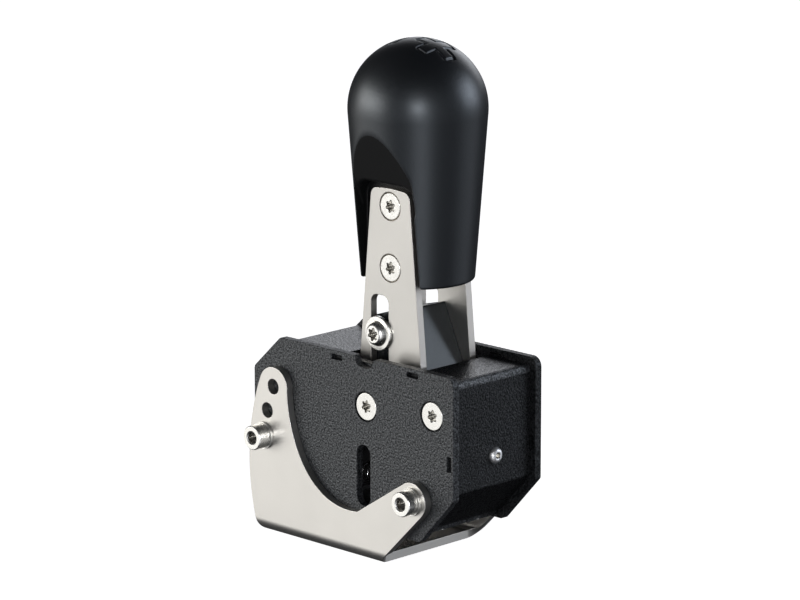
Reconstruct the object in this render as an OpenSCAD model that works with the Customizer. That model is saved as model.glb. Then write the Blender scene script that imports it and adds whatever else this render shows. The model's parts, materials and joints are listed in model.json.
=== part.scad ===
// Lever shifter for a simulator rig: a spring-centred lever between two side
// plates, on a folded bracket with three tilt angles.
// Frame: origin at the middle of the bracket's underside, +Z up, the pivot
// axes along Y, the small button screw's face towards +X. Millimetres.

/* [Bracket] */
// Thickness of the bracket sheet
bracket_t = 3; // [2.8:0.1:3]
// Clearance holes for the angle and pivot screws
clear_d = 5.5; // [5.4:0.05:5.6]
// Outside diameter of the washers under the cap screws
washer_d = 10; // [9.5:0.5:10]
// Distance of the base holes along X
base_x = 40; // [36:1:44]
// Distance of the base holes along Y
base_y = 24; // [20:1:26]
// Diameter of the base holes
base_d = 6.6; // [6.4:0.1:7]

/* [Housing] */
// Thickness of the two side plates
plate_t = 3; // [3:0.1:3.1]
// Thickness of the covers
cover_t = 1.5; // [1.2:0.1:1.5]
// Top face of the top cover
cover_z = 69.4; // [69:0.1:69.8]
// Outer face of the right end cover
cover_x = 61.9; // [61.5:0.1:62.2]
// Offset of the right end cover's screw along Y
end_y = 1.2; // [0:0.1:1.5]
// Height of the tilt pivot above the base
tilt_z = 26.15; // [26:0.05:26.5]

/* [Lever] */
// Width of the slot in the arms
slot_w = 8.5; // [8.45:0.05:8.6]
// Height of the top of the arms
arm_top = 131.1; // [129:0.5:131.5]
// Height of the clamp screws
clamp_z = 79.25; // [78.5:0.25:80]
// Diameter of the pivot shaft
shaft_d = 8; // [7:0.5:8]

/* [Knob] */
// Radius of the ball end
knob_r = 24.3; // [23.5:0.1:25]
// Height of the centre of the ball end
knob_cz = 157.4; // [155:0.2:160]
// Radius at the lower end
knob_r0 = 19.8; // [19.4:0.1:20.2]
// Height of the lower end
knob_z0 = 97.5; // [97:0.1:99]

/* [Centring] */
// Diameter of the guide rod
rod_d = 4; // [3.5:0.1:4]
// Height of the guide rod
rod_z = 23; // [22.8:0.1:23.4]
// Wire diameter of the springs
wire_d = 0.9; // [0.8:0.1:1]
// Turns of each spring
turns = 5; // [4:1:6]

/* [Hidden] */
$fn = 64;

gap = 0.04;                 // between the housing and the bracket's wings
in_y = 19;                  // inner faces of the side plates
pl_y = in_y + plate_t;      // outer faces of the side plates
wi_y = pl_y + gap;          // inner faces of the wings
wo_y = wi_y + bracket_t;    // outer faces of the wings
tilt = [47.3, tilt_z];      // tilt pivot, X and Z
hole_r = 74.19;             // radius of the arc of angle holes
hole_a = [172.44, 164.99, 157.54]; // their directions seen from the tilt pivot
tilt_max = 14.9;            // from the first to the last angle hole
piv = [22.2, 54.6];         // lever pivot
post = [54.1, 57.0];        // spacer post
arm_x = 26;                 // middle line of the arms and knob
arm_i = 10.7;               // inner faces of the arms
arm_o = 13.7;               // outer faces of the arms
slot_x = 20.85;             // middle of the slot in the arms
slot_top = 92.8;            // upper end of that slot
core_y = 10.6;              // half width of the lever core
wall_x = [3, 41.4];         // inner faces of the spring carrier's walls
seat_x = [0.5, 43.9];       // ends of the spring seats let into those walls
board_p = [[0, 27], [0, 41], [43.9, 41]]; // board screws, X and Z
knob_screw_z = [124.7, 103.0];
m5 = 5.04;                  // hole for an M5 thread
m3 = 3.04;                  // hole for an M3 thread

// ---- helpers -------------------------------------------------------------
function unit(v) = v / norm(v);
// Arc that rounds corner p between a and b with radius r
function fillet(a, p, b, r, n) =
  r <= 0 ? [p] :
  let(u = unit(a - p), v = unit(b - p), th = acos(u * v),
      c = p + unit(u + v) * (r / sin(th / 2)),
      s = p + u * (r / tan(th / 2)) - c, e = p + v * (r / tan(th / 2)) - c,
      a0 = atan2(s[1], s[0]), d = atan2(e[1], e[0]) - a0,
      dd = d > 180 ? d - 360 : (d < -180 ? d + 360 : d))
  [for (i = [0 : n]) c + r * [cos(a0 + dd * i / n), sin(a0 + dd * i / n)]];
// Polygon of [x, y, radius] corners with its corners rounded
function rounded(q, n = 6) =
  [for (i = [0 : len(q) - 1])
    let(a = q[(i + len(q) - 1) % len(q)], p = q[i], b = q[(i + 1) % len(q)])
    each fillet([a[0], a[1]], [p[0], p[1]], [b[0], b[1]], p[2], n)];
function arc(c, r, a0, a1, n) =
  [for (i = [0 : n]) c + r * [cos(a0 + (a1 - a0) * i / n), sin(a0 + (a1 - a0) * i / n)]];
function bezier(p, n) =
  [for (i = [0 : n]) let(t = i / n, s = 1 - t)
    s*s*s*p[0] + 3*s*s*t*p[1] + 3*s*t*t*p[2] + t*t*t*p[3]];

// XZ outline extruded from y0 to y1
module xz(y0, y1) translate([0, y1, 0]) rotate([90, 0, 0]) linear_extrude(y1 - y0) children();
// YZ outline extruded from x0 to x1
module yz(x0, x1) translate([x0, 0, 0]) rotate([90, 0, 90]) linear_extrude(x1 - x0) children();
module ycyl(p, y0, y1, d) translate([p[0], y0, p[1]]) rotate([-90, 0, 0]) cylinder(h = y1 - y0, d = d);
module xcyl(x0, x1, y, z, d) translate([x0, y, z]) rotate([0, 90, 0]) cylinder(h = x1 - x0, d = d);
module block(lo, hi) translate(lo) cube(hi - lo);
module both() { children(); mirror([0, 1, 0]) children(); }
// Puts a screw drawn with its head's top at z = 0 on the -Y side at height y
module on_front(p, y) translate([p[0], -y, p[1]]) rotate([90, 0, 0]) children();
module stadium(w, h) { // upright slot outline, w wide and h tall
  square([w, h - w], center = true);
  for (s = [-1, 1]) translate([0, s * (h - w) / 2]) circle(d = w);
}

// ---- fasteners: axis Z, top of the head at z = 0 -------------------------
module star(depth, s = 1) // six-lobe recess
  translate([0, 0, -depth]) linear_extrude(depth + 1) {
    circle(r = 1.55 * s);
    for (i = [0 : 5]) rotate(60 * i + 20) translate([1.8 * s, 0]) circle(r = 0.5 * s);
  }
// Hole of 5.5 with a seat that is w wide at the sheet's face and straight for h
module seat(w, h) {
  cylinder(h = 20, d = 5.5, center = true);
  translate([0, 0, -h]) cylinder(h = h + 1, d = w);
  translate([0, 0, -h - (w - 5.5) / 2]) cylinder(h = (w - 5.5) / 2, d1 = 5.5, d2 = w);
}
module csk_screw(len, hd = 9.6, d = 5, rim = 0.2) difference() {
  union() {
    translate([0, 0, -rim]) cylinder(h = rim, d = hd);
    translate([0, 0, -rim - (hd - d) / 2]) cylinder(h = (hd - d) / 2, d1 = d, d2 = hd);
    translate([0, 0, -len + 0.4]) cylinder(h = len - 0.4 - rim - (hd - d) / 2, d = d);
    translate([0, 0, -len]) cylinder(h = 0.4, d1 = d - 0.8, d2 = d);
  }
  star(hd > 7 ? 1.9 : 0.9, hd > 7 ? 1 : 0.6);
}
module cap_screw(len, h = 5) difference() {
  union() {
    translate([0, 0, -0.3]) cylinder(h = 0.3, d1 = 8.7, d2 = 8.1);
    translate([0, 0, -h]) cylinder(h = h - 0.3, d = 8.7);
    translate([0, 0, -h - len + 0.4]) cylinder(h = len - 0.4, d = 5);
    translate([0, 0, -h - len]) cylinder(h = 0.4, d1 = 4.2, d2 = 5);
  }
  translate([0, 0, -2.6]) cylinder(h = 4, r = 2.31, $fn = 6);
  translate([0, 0, -0.4]) cylinder(h = 0.45, d1 = 4.3, d2 = 5.2);
}
module button_screw(len) difference() {
  union() {
    rotate_extrude() polygon(concat([[0, -1.65]], [[2.85, -1.65]], [[2.85, -1.35]],
      arc([0, -3.02], 3.3, 30.4, 65, 8), [[0, 0]]));
    translate([0, 0, -1.65 - len]) cylinder(h = len, d = 3);
  }
  translate([0, 0, -1.0]) cylinder(h = 2, r = 1.16, $fn = 6);
}

// Washers on both wings around axis p, their inner faces at height y
module washers(p, y) both() difference() {
  ycyl(p, -y - 1, -y, washer_d);
  ycyl(p, -y - 2, -y + 1, 5.3);
}

// ---- bracket ---------------------------------------------------------------
// Outline of the wings in XZ. The left edge is an arc about the tilt pivot
module wing_outline() {
  h1 = tilt + hole_r * [cos(hole_a[2]), sin(hole_a[2])];
  rt = 6.7;
  polygon(concat(
    [[30.6, 0]],
    arc(tilt, rt, -45, 123.2, 16),
    [[20.8, 17.15]],
    bezier([[20.8, 17.15], [-4.7, 14.2], [-14.2, 39.5], [-14.2, 54.5]], 32),
    arc(h1, 7.1, 0, 157.8, 16),
    arc(tilt, hole_r + 7.1, 159.5, 198.2, 16),
    [[-29.6, 0.6], [-29.3, 0]]));
}
module mounting_bracket() color([0.84, 0.83, 0.81]) difference() {
  intersection() {
    yz(-40, 60) polygon(concat(
      [[-wi_y, 75], [-wi_y - bracket_t, 75]],
      arc([2 - wi_y, 2 + bracket_t], 2 + bracket_t, 180, 270, 12),
      arc([wi_y - 2, 2 + bracket_t], 2 + bracket_t, 270, 360, 12),
      [[wi_y + bracket_t, 75], [wi_y, 75]],
      arc([wi_y - 2, 2 + bracket_t], 2, 360, 270, 12),
      arc([2 - wi_y, 2 + bracket_t], 2, 270, 180, 12)));
    xz(-30, 30) wing_outline();
  }
  // the flange's end is square, and runs out into the wings over the bends
  translate([0, 0, -1]) linear_extrude(6)
    polygon([[30.6, -20], [35.6, -25], [50, -25], [50, 25], [35.6, 25], [30.6, 20]]);
  for (a = hole_a) ycyl(tilt + hole_r * [cos(a), sin(a)], -30, 30, clear_d);
  ycyl(tilt, -30, 30, 5.16);
  for (x = [-1, 1], y = [-1, 1]) translate([x * base_x / 2, y * base_y / 2, -1]) cylinder(h = 6, d = base_d);
}

module angle_screws() color([0.8, 0.8, 0.78])
  both() on_front(tilt + hole_r * [cos(hole_a[0]), sin(hole_a[0])], wo_y + 6) cap_screw(12);
module angle_washers() color([0.8, 0.8, 0.78])
  washers(tilt + hole_r * [cos(hole_a[0]), sin(hole_a[0])], wo_y);
module angle_nuts() color([0.7, 0.7, 0.7]) both() difference() {
  c = tilt + hole_r * [cos(hole_a[0]), sin(hole_a[0])];
  block([c[0] - 4, -in_y + 0.06, c[1] - 4], [c[0] + 4, -in_y + 3.6, c[1] + 4]);
  ycyl(c, -in_y - 1, -in_y + 5, m5);
}

// ---- housing ---------------------------------------------------------------
module plate_outline() polygon(rounded([
  [-34.2, 59.5, 2], [-20.7, 72.05, 2.5],
  [17.0, 72.05, 0.9], [17.7, 68.5, 2.4], [25.1, 68.5, 2.4], [25.9, 72.05, 1.6],
  [64.4, 72.05, 3.6], [64.4, 28.6, 1.6], [48.4, 11.1, 1.8],
  [-30, 11.1, 2], [-34.2, 15.3, 2]]));
module tab_slots() {
  for (x = [5.3, 42.3]) translate([x, 68.9]) square([5.2, 1.7]);
  translate([61.4, 38.9]) square([1.8, 5.2]);
  translate([-33.5, 24]) square([1.8, 5.2]);
  translate([-10, 12.3]) square([5.2, 1.9]);
}
module side_plate() difference() {
  xz(-pl_y, -in_y) plate_outline();
  xz(-pl_y - 1, -in_y + 1) {
    tab_slots();
    translate([21, 29.7]) stadium(6.5, 21.8);
  }
  // slot for the angle screw, an arc about the tilt pivot
  xz(-pl_y - 1, -in_y + 1) polygon(concat(
    arc(tilt, hole_r - clear_d / 2, hole_a[0] - 0.2, hole_a[0] + tilt_max + 0.2, 16),
    arc(tilt, hole_r + clear_d / 2, hole_a[0] + tilt_max + 0.2, hole_a[0] - 0.2, 16)));
  for (a = [hole_a[0] - 0.2, hole_a[0] + tilt_max + 0.2])
    ycyl(tilt + hole_r * [cos(a), sin(a)], -pl_y - 1, -in_y + 1, clear_d);
  ycyl(tilt, -pl_y - 1, -in_y + 1, 7.04);
  for (p = [piv, post]) on_front(p, pl_y) seat(10.8, 0.3);
}
module front_side_plate() color([0.27, 0.27, 0.28]) side_plate();
module rear_side_plate() color([0.16, 0.17, 0.18]) mirror([0, 1, 0]) side_plate();

// Tabs of the covers: blocks that reach into the plates' slots
module tab(lo, hi) both() block([lo[0], -pl_y + 1.3, lo[1]], [hi[0], -in_y + 1, hi[1]]);
cw = in_y - 0.03;           // half width of the covers

module top_cover() color([0.2, 0.21, 0.22]) difference() {
  u = unit([13.5, 12.55]);  // along the plates' left chamfer
  c = [-33.0, 59.6];
  b = [c[0] + (cover_z - c[1]) * u[0] / u[1], cover_z];
  union() {
    xz(-cw, cw) polygon(rounded([
      [60.1, cover_z, 0], [b[0], b[1], 2], [c[0], c[1], 0],
      [c[0] + cover_t * u[1], c[1] - cover_t * u[0], 0],
      [b[0] + cover_t * tan(21.4), cover_z - cover_t, 0.5], [60.1, cover_z - cover_t, 0]]));
    for (x = [5.55, 42.55]) tab([x, 69.0], [x + 4.7, 70.4]);
  }
  // opening for the lever
  translate([4.5, -15.6, 60]) cube([37.7, 31.2, 20]);
}
module right_end_cover() color([0.12, 0.13, 0.14]) difference() {
  u = unit([16, 17.5]);     // along the plates' right chamfer
  s = [64.4 - 2.5 * u[1], 28.6 + 2.5 * u[0]];
  k = [cover_x, s[1] - (s[0] - cover_x) * u[1] / u[0]];
  e = [s[0] - (s[1] - 14.6) * u[0] / u[1], 14.6];
  n = cover_t * [-u[1], u[0]];
  union() {
    xz(-cw, cw) polygon(rounded([
      [cover_x - cover_t, cover_z, 0],
      each [for (a = [90 : -15 : 0]) [cover_x - 1.45 + 1.45 * cos(a), cover_z - 2.6 + 2.6 * sin(a), 0]],
      [k[0], k[1], 2.4],
      [e[0], e[1], 0], [e[0] + n[0], e[1] + n[1], 0],
      [cover_x - cover_t, k[1] + cover_t * tan(21.2), 0.9]]));
    tab([61.45, 39.15], [62.85, 43.85]);
  }
  xcyl(cover_x - 5, cover_x + 5, end_y, 40.4, 3.4);
}
module left_end_cover() color([0.12, 0.13, 0.14]) difference() {
  union() {
    block([-33.4, -cw, 12.4], [-33.4 + cover_t, cw, 58.3]);
    tab([-33.3, 24.3], [-31.95, 28.9]);
  }
  xcyl(-36, -30, 0, 40.4, 3.4);
  // cut-out for the data socket
  translate([-36, 8, 30]) rotate([0, 90, 0]) linear_extrude(6) stadium(3.6, 9.4);
}
module bottom_cover() color([0.12, 0.13, 0.14]) difference() {
  union() {
    block([-31.8, -cw, 12.6], [46.4, cw, 12.6 + cover_t]);
    tab([-9.75, 12.55], [-5.05, 13.95]);
  }
  // room for the clamp nuts at full tilt
  both() block([-40, -in_y - 1, 10], [-20.5, -14.4, 20]);
  for (x = [0, 43.9], y = [-9, 9]) translate([x, y, 0]) {
    translate([0, 0, 10]) cylinder(h = 6, d = 3.2);
    translate([0, 0, 12.6]) cylinder(h = 1.35, d1 = 5.9, d2 = 3.2);
  }
}
module pivot_bolts() color([0.8, 0.8, 0.78]) both() on_front(tilt, wo_y + 5.42) cap_screw(11, 4.4);
module pivot_washers() color([0.8, 0.8, 0.78]) washers(tilt, wo_y + 0.02);
module pivot_nuts() color([0.7, 0.7, 0.7]) both() difference() {
  union() {
    ycyl(tilt, -in_y + 0.02, -in_y + 4, 9.5);
    ycyl(tilt, -pl_y + 1.2, -in_y + 0.5, 7);
  }
  ycyl(tilt, -pl_y, -in_y + 5, m5);
}
module plate_screws() color([0.85, 0.85, 0.83]) both() for (p = [piv, post]) on_front(p, pl_y - 0.25) csk_screw(14, 9.7, 5, 0.4);
module drilled_rod(p, d) difference() {
  ycyl(p, -in_y, in_y, d);
  both() ycyl(p, -in_y - 1, -in_y + 12, m5);
}
module pivot_shaft() color([0.75, 0.75, 0.75]) drilled_rod(piv, shaft_d);
module spacer_post() color([0.6, 0.6, 0.62]) drilled_rod(post, 10);
module spacer_sleeves() color([0.3, 0.3, 0.3]) both() difference() {
  ycyl(piv, -in_y + 0.02, -core_y - 0.1, 10);
  ycyl(piv, -in_y - 1, -core_y + 1, shaft_d + 0.06);
}
module cover_screws() color([0.8, 0.8, 0.78]) {
  translate([cover_x + 1.65, end_y, 40.4]) rotate([0, 90, 0]) button_screw(8);
  translate([-33.4 - 1.65, 0, 40.4]) rotate([0, -90, 0]) button_screw(8);
}
module cover_standoffs() color([0.72, 0.6, 0.3]) {
  difference() {
    union() {
      translate([46.42, end_y, 40.4]) rotate([0, 90, 0]) cylinder(h = cover_x - cover_t - 46.44, r = 3.175, $fn = 6);
      xcyl(42, 46.6, end_y, 40.4, 3);
    }
    xcyl(52, 70, end_y, 40.4, m3);
  }
  difference() {
    union() {
      translate([-31.88 + cover_t - 1.5, 0, 40.4]) rotate([0, 90, 0]) cylinder(h = 28.86, r = 3.175, $fn = 6);
      xcyl(-3.2, 1.5, 0, 40.4, 3);
    }
    xcyl(-40, -22, 0, 40.4, m3);
  }
}

// ---- centring unit -----------------------------------------------------------
module spring_carrier() color([0.1, 0.1, 0.11]) difference() {
  union() {
    block([-3, -13, 14.12], [46.4, 13, 17.1]);
    block([-3, -13, 14.12], [wall_x[0], 13, 45]);
    block([wall_x[1], -13, 14.12], [46.4, 13, 45]);
  }
  xcyl(-5, 50, 0, rod_z, rod_d + 0.04);
  block([seat_x[0], -6, rod_z - 4.2], [seat_x[1], 6, rod_z + 4.2]);
  xcyl(-5, 5, 0, 40.4, m3);
  xcyl(40, 50, end_y, 40.4, m3);
  for (x = [0, 43.9], y = [-9, 9]) translate([x, y, 10]) cylinder(h = 12, d = m3);
  for (p = board_p) ycyl(p, 6, 14, m3);
}
module carrier_screws() color([0.75, 0.75, 0.73])
  for (x = [0, 43.9], y = [-9, 9]) translate([x, y, 12.62]) rotate([180, 0, 0]) csk_screw(8, 5.5, 3, 0.1);
module guide_rod() color([0.78, 0.78, 0.78]) xcyl(-2.9, 46.3, 0, rod_z, rod_d);
module bump_rubbers() color([0.08, 0.08, 0.08]) for (x = [[0.53, 11.2], [33.2, 43.87]]) difference() {
  xcyl(x[0], x[1], 0, rod_z, 5.3);
  xcyl(x[0] - 1, x[1] + 1, 0, rod_z, rod_d + 0.06);
}
// Skins n + 1 rings of k points
module skin(pts, n, k) polyhedron(pts, concat(
  [for (i = [0 : n - 1], j = [0 : k - 1])
    [i * k + j, i * k + (j + 1) % k, (i + 1) * k + (j + 1) % k, (i + 1) * k + j]],
  [[for (j = [k - 1 : -1 : 0]) j]], [[for (j = [0 : k - 1]) n * k + j]]));
// Coil from x0 to x1: rings of 8 points swept along the helix
module coil(x0, x1) {
  r = 3.25;
  n = 15 * turns;
  w = wire_d / 2;
  a = x0 + w + 0.02;
  l = x1 - x0 - wire_d - 0.04;
  skin([for (i = [0 : n], j = [0 : 7])
    let(t = 360 * turns * i / n, q = 45 * j, rr = r + w * cos(q))
    [a + l * i / n + w * sin(q), rr * cos(t), rod_z + rr * sin(t)]], n, 8);
}
module left_spring() color([0.85, 0.85, 0.85]) coil(seat_x[0], 14.5);
module right_spring() color([0.85, 0.85, 0.85]) coil(29.9, seat_x[1]);
module shuttle() color([0.15, 0.15, 0.16]) difference() {
  block([14.52, -5.5, rod_z - 5], [29.88, 5.5, rod_z + 5]);
  xcyl(10, 35, 0, rod_z, rod_d + 0.1);
  both() ycyl([piv[0], rod_z], -7, -3, 3.04);
}
module shuttle_pins() color([0.78, 0.78, 0.78]) both() {
  ycyl([piv[0], rod_z], -10.3, -5.55, 5);
  ycyl([piv[0], rod_z], -5.6, -3.1, 3);
}

// ---- sensor --------------------------------------------------------------------
module sensor_board() color([0.05, 0.3, 0.15]) difference() {
  block([-3, 13.03, 24], [46.4, 14.63, 44]);
  for (p = board_p) ycyl(p, 12, 16, 3.2);
}
module board_parts() color([0.1, 0.1, 0.1]) {
  block([20.2, 11.9, 38], [24.2, 13.01, 41]);       // sensor chip, towards the magnet
  block([26.5, 14.65, 30], [33.5, 15.75, 37]);      // controller chip
  block([5, 14.65, 33], [11, 18.2, 39.5]);          // connector
  block([15, 14.65, 27], [17, 15.45, 28.2]);
  block([20, 14.65, 27], [22, 15.45, 28.2]);
}
module board_screws() color([0.8, 0.8, 0.78])
  for (p = board_p) translate([p[0], 14.65 + 1.65, p[1]]) rotate([-90, 0, 0]) button_screw(7);
module sensor_lead() color([0.06, 0.06, 0.06]) {
  p = concat([[4.9, 16.4, 36.2]], bezier(
    [[-8, 16.4, 36.2], [-22, 16.2, 35.8], [-14, 8, 30], [-25.9, 8, 30]], 14));
  n = len(p) - 1;
  skin([for (i = [0 : n], j = [0 : 7])
    let(t = unit(p[min(i + 1, n)] - p[max(i - 1, 0)]), u = unit(cross(t, [0, 0, 1])),
        v = cross(u, t))
    p[i] + 1.3 * (u * cos(45 * j) - v * sin(45 * j))], n, 8);
}
module data_socket() color([0.7, 0.7, 0.7]) {
  translate([-33.3, 8, 30]) rotate([0, 90, 0]) difference() {
    linear_extrude(7.3) stadium(3.2, 9);
    translate([0, 0, -1]) linear_extrude(7) stadium(2.6, 8.4);
  }
  block([-32.6, 5, 29.65], [-27, 11, 30.35]);
}

// ---- lever ---------------------------------------------------------------------
module core_outline() polygon(rounded([
  [15.4, 84.5, 1.8], [28.6, 87.85, 0.7], [37.7, 67.3, 0.6], [37.7, 64.5, 3],
  [31.5, 55.0, 4], [28.6, 46, 3], [28.0, 18.6, 1.5], [16.4, 18.6, 1.5], [15.8, 46, 3],
  [12.9, 55.0, 4], [12.0, 64.5, 2], [13.3, 70.4, 1]]));
module lever_core() color([0.16, 0.17, 0.18]) difference() {
  xz(-core_y, core_y) core_outline();
  // room for the shuttle between the two prongs
  block([0, -6.1, 10], [50, 6.1, 39]);
  both() block([0, -20, 10], [50, -10.1, 44]);
  both() {
    block([piv[0] - 2.6, -20, 10], [piv[0] + 2.6, -5, rod_z + 0.3]);
    ycyl([piv[0], rod_z + 0.3], -20, -5, 5.2);
  }
  ycyl(piv, -20, 20, 12.04);
  ycyl([slot_x, clamp_z], -20, 20, m5);
  ycyl([piv[0], 39.6], 8.5, 12, 5.04);
}
module pivot_bushings() color([0.7, 0.5, 0.25]) both() difference() {
  ycyl(piv, -core_y, -0.5, 12);
  ycyl(piv, -20, 20, shaft_d + 0.06);
}
module slot_rings() color([0.5, 0.5, 0.5]) both() difference() {
  ycyl([slot_x, clamp_z], -arm_o + 0.05, -core_y - 0.01, slot_w - 0.1);
  ycyl([slot_x, clamp_z], -20, 0, 5.06);
}
module clamp_screws() color([0.85, 0.85, 0.83]) both() on_front([slot_x, clamp_z], arm_o + 0.02) difference() {
  union() {
    rotate_extrude() polygon([[0, -0.01], [5.9, -0.01], [6.1, 0.2], [6.1, 0.9],
      [5.85, 1.2], [4.5, 1.22], [4.35, 1.6], [4.1, 2.2], [3.7, 2.8], [3.3, 3.2], [2.95, 3.45], [0, 3.45]]);
    translate([0, 0, -9]) cylinder(h = 9.5, d = 5);
  }
  translate([0, 0, 3.45]) star(2.2, 1.1);
}
module sensor_magnet() color([0.75, 0.75, 0.75]) ycyl([piv[0], 39.6], 8.55, 10.2, 5);

// ---- arms and knob ------------------------------------------------------------------
module arm_outline() {
  w = function(z) 9.6 + (128 - z) * 0.09;
  zt = arm_top;
  polygon(rounded([
    [arm_x - w(zt) + 0.1, zt - 0.75, 3], [arm_x, zt, 40], [arm_x + w(zt) - 0.1, zt - 0.75, 3],
    [arm_x + w(65.5), 65.5, 4.5], [slot_x + slot_w / 2, 65.5, 1.2],
    [slot_x + slot_w / 2, 66.7, 0], [slot_x - slot_w / 2, 66.7, 0],
    [slot_x - slot_w / 2, 65.5, 0.3], [arm_x - w(65.5), 65.5, 4.8]]));
}
module lever_arm() difference() {
  xz(-arm_o, -arm_i) arm_outline();
  xz(-20, 0) polygon(rounded([
    [slot_x - slot_w / 2, 50, 0], [slot_x + slot_w / 2, 50, 0],
    [slot_x + slot_w / 2, slot_top, 3], [slot_x - slot_w / 2, slot_top, 3]]));
  for (z = knob_screw_z) on_front([arm_x, z], arm_o) seat(10.2, 0.55);
}
module front_arm() color([0.84, 0.83, 0.8]) lever_arm();
module rear_arm() color([0.84, 0.83, 0.8]) mirror([0, 1, 0]) lever_arm();
module knob_screws() color([0.85, 0.85, 0.83]) both() for (z = knob_screw_z) on_front([arm_x, z], arm_o - 0.1) csk_screw(12, 9.2, 5, 0.9);

module shift_knob() color([0.13, 0.14, 0.16]) difference() {
  d = [knob_r0, knob_z0 - knob_cz];
  // direction of the side line that touches the ball
  ta = 180 - atan2(-d[1], d[0]) - asin(knob_r / norm(d));
  tl = sqrt(d * d - knob_r * knob_r);
  tp = [knob_r0, knob_z0] + tl * [cos(ta), sin(ta)];
  translate([arm_x, 0, 0]) rotate_extrude($fn = 96) polygon(concat(
    [[0, knob_z0], [knob_r0 - 0.7, knob_z0], [knob_r0 - 0.2, knob_z0 + 0.2], [knob_r0 + 0.05, knob_z0 + 0.8]],
    [tp], arc([0, knob_cz], knob_r, ta - 90 + 0.6, 90, 24)));
  both() {
    // pocket for the arm
    xz(-30, -arm_i) polygon(rounded([
      [arm_x - 14.1, 90, 0], [arm_x - 14.1, 133, 6], [arm_x + 14.1, 133, 6], [arm_x + 14.1, 90, 0]]));
    // scoop above the arm
    yz(arm_x - 14.7, arm_x + 14.7)
      polygon([[-16.8, 133], [-24.9, 154.1], [-32, 154.1], [-32, 126], [-16.8, 126]]);
    for (z = knob_screw_z) {
      ycyl([arm_x, z], -12, -3.5, 7.04);
      ycyl([arm_x, z], -5, -1.2, 5.4);
    }
  }
}
module knob_inserts() color([0.75, 0.6, 0.3]) both() for (z = knob_screw_z) difference() {
  ycyl([arm_x, z], -arm_i + 0.1, -3.6, 7);
  ycyl([arm_x, z], -12, 0, m5);
}

mounting_bracket();
angle_screws();
angle_washers();
angle_nuts();
front_side_plate();
rear_side_plate();
top_cover();
right_end_cover();
left_end_cover();
bottom_cover();
pivot_bolts();
pivot_washers();
pivot_nuts();
plate_screws();
pivot_shaft();
spacer_sleeves();
spacer_post();
cover_screws();
cover_standoffs();
spring_carrier();
carrier_screws();
guide_rod();
bump_rubbers();
left_spring();
right_spring();
sensor_board();
board_parts();
board_screws();
sensor_lead();
data_socket();
shuttle();
shuttle_pins();
lever_core();
pivot_bushings();
slot_rings();
clamp_screws();
sensor_magnet();
front_arm();
rear_arm();
knob_screws();
shift_knob();
knob_inserts();
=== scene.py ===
"""Looks for the lever shifter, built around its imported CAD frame. Lengths in the shape
code are millimetres in the row frame; objects are made in metres."""
import json
import math

import bmesh
import bpy
import numpy as np
from mathutils import Matrix, Vector
from mathutils.geometry import tessellate_polygon

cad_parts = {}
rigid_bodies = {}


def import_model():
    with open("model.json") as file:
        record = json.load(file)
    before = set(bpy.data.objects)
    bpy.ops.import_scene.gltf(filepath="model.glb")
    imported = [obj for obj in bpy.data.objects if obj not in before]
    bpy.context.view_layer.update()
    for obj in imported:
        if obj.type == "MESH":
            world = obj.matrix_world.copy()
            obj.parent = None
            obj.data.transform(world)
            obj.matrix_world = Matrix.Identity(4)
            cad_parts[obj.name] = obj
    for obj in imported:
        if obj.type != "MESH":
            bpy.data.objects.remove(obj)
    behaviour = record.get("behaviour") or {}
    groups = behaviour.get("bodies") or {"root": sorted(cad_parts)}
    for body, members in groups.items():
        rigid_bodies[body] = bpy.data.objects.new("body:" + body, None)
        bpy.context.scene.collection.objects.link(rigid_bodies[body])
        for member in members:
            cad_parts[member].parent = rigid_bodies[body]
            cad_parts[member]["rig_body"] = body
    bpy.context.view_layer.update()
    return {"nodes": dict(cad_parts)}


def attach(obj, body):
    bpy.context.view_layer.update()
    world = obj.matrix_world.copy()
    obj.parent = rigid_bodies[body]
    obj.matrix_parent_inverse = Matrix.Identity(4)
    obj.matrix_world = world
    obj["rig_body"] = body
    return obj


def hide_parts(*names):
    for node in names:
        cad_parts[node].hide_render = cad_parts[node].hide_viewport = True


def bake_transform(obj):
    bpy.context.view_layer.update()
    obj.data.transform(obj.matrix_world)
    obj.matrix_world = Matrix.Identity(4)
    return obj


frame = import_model()
scene = bpy.context.scene
MM = 0.001

# ------------------------------------------------------------------ camera
AZ, EL, ROLL = math.radians(44.85), math.radians(13.15), math.radians(-0.08)
cam_data = bpy.data.cameras.new("camera")
cam = bpy.data.objects.new("camera", cam_data)
scene.collection.objects.link(cam)
scene.camera = cam
cam_data.lens, cam_data.sensor_width = 175.5, 36.0
cam_data.clip_start, cam_data.clip_end = 0.05, 50.0
back = Vector((math.sin(AZ) * math.cos(EL), -math.cos(AZ) * math.cos(EL), math.sin(EL)))
right = Vector((math.cos(AZ), math.sin(AZ), 0.0))
up = back.cross(right)
r_ = right * math.cos(ROLL) + up * math.sin(ROLL)
u_ = -right * math.sin(ROLL) + up * math.cos(ROLL)
cam.matrix_world = Matrix(((r_.x, u_.x, back.x, 0.951716), (r_.y, u_.y, back.y, -0.939470),
                           (r_.z, u_.z, back.z, 0.397668), (0, 0, 0, 1)))

# ------------------------------------------------------------------ dimensions, as in the CAD
PL_I, PL_O = 19.0, 22.0
WI, WO = 22.04, 25.04
TILT = (47.3, 26.15)
HOLE_R, HOLE_A = 74.19, (172.44, 164.99, 157.54)
PIV, POST = (22.2, 54.6), (54.1, 57.0)
ARM_X, ARM_I, ARM_O = 26.0, 10.7, 13.7
SLOT_X, SLOT_W, SLOT_TOP, CLAMP_Z = 20.85, 8.5, 92.8, 79.25
ROD_Z = 23.0
END_Y = 1.2
KNOB_SCREWS = (124.7, 103.0)


def on_arc(k):
    a = math.radians(HOLE_A[k])
    return (TILT[0] + HOLE_R * math.cos(a), TILT[1] + HOLE_R * math.sin(a))


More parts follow.
